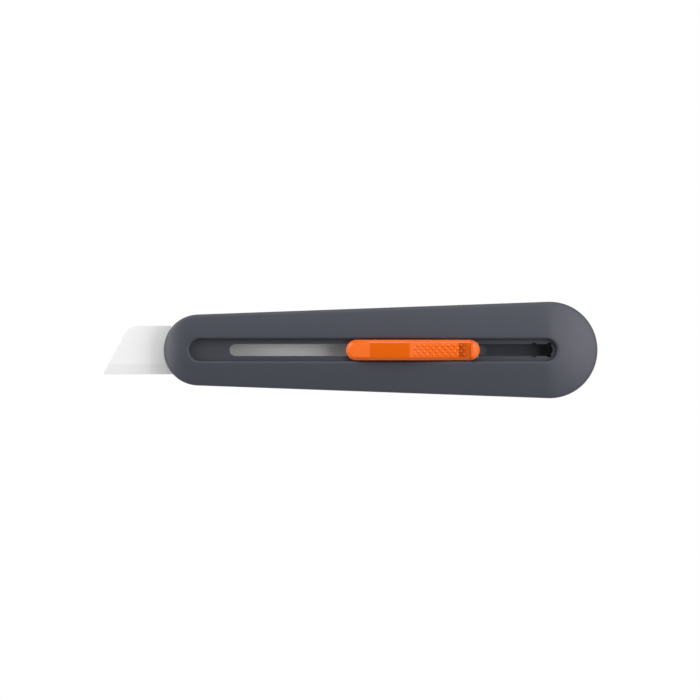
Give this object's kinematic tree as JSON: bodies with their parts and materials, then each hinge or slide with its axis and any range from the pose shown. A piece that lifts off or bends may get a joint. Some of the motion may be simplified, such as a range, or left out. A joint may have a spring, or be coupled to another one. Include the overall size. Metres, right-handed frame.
{
  "type": "utility knife",
  "caption": "Slim utility knife with a white ceramic blade that slides out of a tapered grey handle by an orange thumb slider with stops.",
  "frame": {"origin": "bottom centre of the knife's box, on the flat land of the handle's back, with the blade at its first stop", "axes": "+X towards the rear end of the handle (blade points to -X), +Y away from the cutting edge, +Z out of the slider side"},
  "size_m": [0.1884, 0.0366, 0.0228],
  "materials": {
    "shell": "fine moulded texture, slate grey, glass-filled",
    "track": "smooth moulded, darker slate",
    "runner": "smooth low-friction plastic, natural white",
    "sled": "smooth moulded, blue-grey",
    "button": "satin moulded, orange",
    "blade": "sintered zirconia ceramic, ground and white",
    "bumper": "moulded rubber",
    "screw_steel": "zinc plated",
    "pin_steel": "ground",
    "spring_steel": "rolled spring steel",
    "rivet": "headed",
    "insert_brass": "knurled and turned"
  },
  "bodies": {
    "handle": {"front_shell": "shell", "rear_shell": "shell", "handle_screws": "screw_steel", "screw_inserts": "insert_brass", "slide_track": "track", "track_screws": "screw_steel", "blade_runner": "runner", "runner_screws": "screw_steel", "stop_bumpers": "bumper"},
    "carriage": {"blade_sled": "sled", "blade": "blade", "blade_clip": "spring_steel", "clip_rivets": "rivet", "button_spring": "spring_steel"},
    "button": {"slider_button": "button", "lock_plate": "spring_steel", "lock_rivets": "rivet", "button_pin": "pin_steel"}
  },
  "joints": [
    {"name": "blade_slide", "type": "slide", "parent": "handle", "child": "carriage", "axis": [1, 0, 0], "range_m": [-0.0538, 0.0276]},
    {"name": "button_press", "type": "hinge", "parent": "carriage", "child": "button", "pos_m": [0.011, 0, 0.01925], "axis": [0, 1, 0], "range_deg": [-1.35, 0.55], "stiffness_Nm_per_rad": 2, "deforming": ["button_spring"]}
  ]
}
